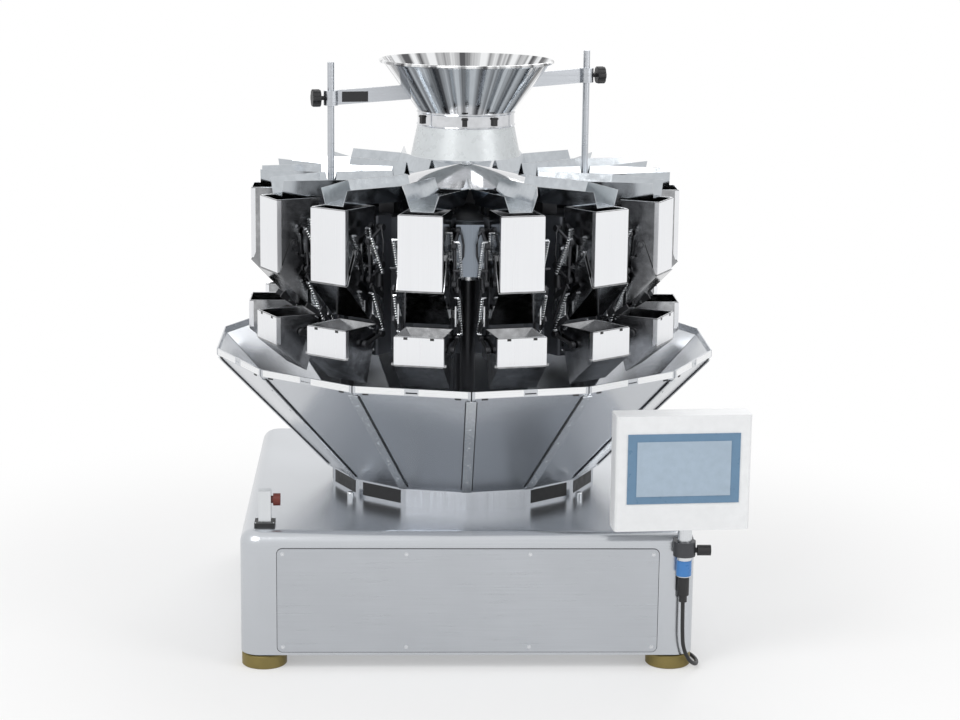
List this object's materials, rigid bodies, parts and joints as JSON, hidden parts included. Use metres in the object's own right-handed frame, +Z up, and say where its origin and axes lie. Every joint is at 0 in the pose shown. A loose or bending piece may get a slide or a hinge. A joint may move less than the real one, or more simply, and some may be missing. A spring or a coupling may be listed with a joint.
{
  "type": "multihead weigher",
  "caption": "Multihead weigher: central infeed funnel, ring of feed and weigh hoppers, faceted collecting chute, square stainless base and a swivelling touch screen.",
  "frame": {"origin": "floor level under the middle of the outline; the machine's vertical axis is 18.3 mm to the -X side of it", "axes": "+Z up, -Y towards the front, +X to the right as seen from the front"},
  "size_m": [1.2066, 1.1994, 1.352],
  "materials": {
    "stainless": "brushed",
    "polished": "polished",
    "hopper_sheet": "bright",
    "skirt": "satin",
    "black_plastic": "matte",
    "drive_grey": "satin",
    "dark_steel": "satin",
    "foot": "dull",
    "white_case": "satin",
    "bezel": "satin",
    "screen_glass": "smooth",
    "button": "satin",
    "cable": "matte"
  },
  "bodies": {
    "frame": {"base_housing": "stainless", "base_front_cover": "stainless", "base_rear_cover": "stainless", "base_side_covers": "stainless", "foot_pads": "foot", "foot_studs": "stainless", "discharge_funnel": "stainless", "chute_collar": "stainless", "chute_panels": "stainless", "chute_seam_strips": "stainless", "chute_latch_knobs": "stainless", "support_columns": "dark_steel", "column_flanges": "drive_grey", "column_heads": "drive_grey", "main_body": "stainless", "drive_units": "drive_grey", "hopper_hangers": "dark_steel", "feed_hoppers": "hopper_sheet", "weigh_hoppers": "hopper_sheet", "weigh_gates": "hopper_sheet", "feeder_vibrators": "stainless", "feeder_pans": "stainless", "dispersion_cone": "polished", "cone_vibrator": "stainless", "funnel_posts": "stainless", "screen_bracket": "dark_steel", "bracket_knob": "black_plastic", "stop_switch_foot": "black_plastic", "stop_switch_body": "stainless", "stop_button": "button", "cable_inlet": "black_plastic", "screen_cable": "cable"},
    "infeed": {"infeed_funnel": "polished", "infeed_collar": "polished", "infeed_skirt": "skirt", "funnel_arms": "stainless", "clamp_knobs": "black_plastic"},
    "screen": {"screen_housing": "white_case", "screen_bezel": "bezel", "screen_glass": "screen_glass", "screen_pivot_tube": "stainless", "cable_gland": "black_plastic"},
    "feed_gate_01": {"feed_gate_01": "hopper_sheet"},
    "feed_gate_02": {"feed_gate_02": "hopper_sheet"},
    "feed_gate_03": {"feed_gate_03": "hopper_sheet"},
    "feed_gate_04": {"feed_gate_04": "hopper_sheet"},
    "feed_gate_05": {"feed_gate_05": "hopper_sheet"},
    "feed_gate_06": {"feed_gate_06": "hopper_sheet"},
    "feed_gate_07": {"feed_gate_07": "hopper_sheet"},
    "feed_gate_08": {"feed_gate_08": "hopper_sheet"},
    "feed_gate_09": {"feed_gate_09": "hopper_sheet"},
    "feed_gate_10": {"feed_gate_10": "hopper_sheet"},
    "feed_gate_11": {"feed_gate_11": "hopper_sheet"},
    "feed_gate_12": {"feed_gate_12": "hopper_sheet"},
    "feed_gate_13": {"feed_gate_13": "hopper_sheet"},
    "feed_gate_14": {"feed_gate_14": "hopper_sheet"}
  },
  "joints": [
    {"name": "funnel_lift", "type": "slide", "parent": "frame", "child": "infeed", "axis": [0, 0, 1], "range_m": [0, 0.045]},
    {"name": "screen_swivel", "type": "hinge", "parent": "frame", "child": "screen", "pos_m": [0.46368, -0.533, 0.3], "axis": [0, 0, 1], "range_deg": [-20, 20]},
    {"name": "feed_gate_01_swing", "type": "hinge", "parent": "frame", "child": "feed_gate_01", "pos_m": [0.08515, -0.45334, 0.933], "axis": [-0.9749, -0.2225, 0], "range_deg": [0, 35], "stiffness_Nm_per_rad": 2, "springref_deg": -28.65},
    {"name": "feed_gate_02_swing", "type": "hinge", "parent": "frame", "child": "feed_gate_02", "pos_m": [0.2716, -0.36355, 0.933], "axis": [-0.7818, -0.6235, 0], "range_deg": [0, 35], "stiffness_Nm_per_rad": 2, "springref_deg": -28.65},
    {"name": "feed_gate_03_swing", "type": "hinge", "parent": "frame", "child": "feed_gate_03", "pos_m": [0.40063, -0.20176, 0.933], "axis": [-0.4339, -0.901, 0], "range_deg": [0, 35], "stiffness_Nm_per_rad": 2, "springref_deg": -28.65},
    {"name": "feed_gate_04_swing", "type": "hinge", "parent": "frame", "child": "feed_gate_04", "pos_m": [0.44668, 0, 0.933], "axis": [0, -1, 0], "range_deg": [0, 35], "stiffness_Nm_per_rad": 2, "springref_deg": -28.65},
    {"name": "feed_gate_05_swing", "type": "hinge", "parent": "frame", "child": "feed_gate_05", "pos_m": [0.40063, 0.20176, 0.933], "axis": [0.4339, -0.901, 0], "range_deg": [0, 35], "stiffness_Nm_per_rad": 2, "springref_deg": -28.65},
    {"name": "feed_gate_06_swing", "type": "hinge", "parent": "frame", "child": "feed_gate_06", "pos_m": [0.2716, 0.36355, 0.933], "axis": [0.7818, -0.6235, 0], "range_deg": [0, 35], "stiffness_Nm_per_rad": 2, "springref_deg": -28.65},
    {"name": "feed_gate_07_swing", "type": "hinge", "parent": "frame", "child": "feed_gate_07", "pos_m": [0.08515, 0.45334, 0.933], "axis": [0.9749, -0.2225, 0], "range_deg": [0, 35], "stiffness_Nm_per_rad": 2, "springref_deg": -28.65},
    {"name": "feed_gate_08_swing", "type": "hinge", "parent": "frame", "child": "feed_gate_08", "pos_m": [-0.12179, 0.45334, 0.933], "axis": [0.9749, 0.2225, 0], "range_deg": [0, 35], "stiffness_Nm_per_rad": 2, "springref_deg": -28.65},
    {"name": "feed_gate_09_swing", "type": "hinge", "parent": "frame", "child": "feed_gate_09", "pos_m": [-0.30824, 0.36355, 0.933], "axis": [0.7818, 0.6235, 0], "range_deg": [0, 35], "stiffness_Nm_per_rad": 2, "springref_deg": -28.65},
    {"name": "feed_gate_10_swing", "type": "hinge", "parent": "frame", "child": "feed_gate_10", "pos_m": [-0.43727, 0.20176, 0.933], "axis": [0.4339, 0.901, 0], "range_deg": [0, 35], "stiffness_Nm_per_rad": 2, "springref_deg": -28.65},
    {"name": "feed_gate_11_swing", "type": "hinge", "parent": "frame", "child": "feed_gate_11", "pos_m": [-0.48332, 0, 0.933], "axis": [0, 1, 0], "range_deg": [0, 35], "stiffness_Nm_per_rad": 2, "springref_deg": -28.65},
    {"name": "feed_gate_12_swing", "type": "hinge", "parent": "frame", "child": "feed_gate_12", "pos_m": [-0.43727, -0.20176, 0.933], "axis": [-0.4339, 0.901, 0], "range_deg": [0, 35], "stiffness_Nm_per_rad": 2, "springref_deg": -28.65},
    {"name": "feed_gate_13_swing", "type": "hinge", "parent": "frame", "child": "feed_gate_13", "pos_m": [-0.30824, -0.36355, 0.933], "axis": [-0.7818, 0.6235, 0], "range_deg": [0, 35], "stiffness_Nm_per_rad": 2, "springref_deg": -28.65},
    {"name": "feed_gate_14_swing", "type": "hinge", "parent": "frame", "child": "feed_gate_14", "pos_m": [-0.12179, -0.45334, 0.933], "axis": [-0.9749, 0.2225, 0], "range_deg": [0, 35], "stiffness_Nm_per_rad": 2, "springref_deg": -28.65}
  ]
}
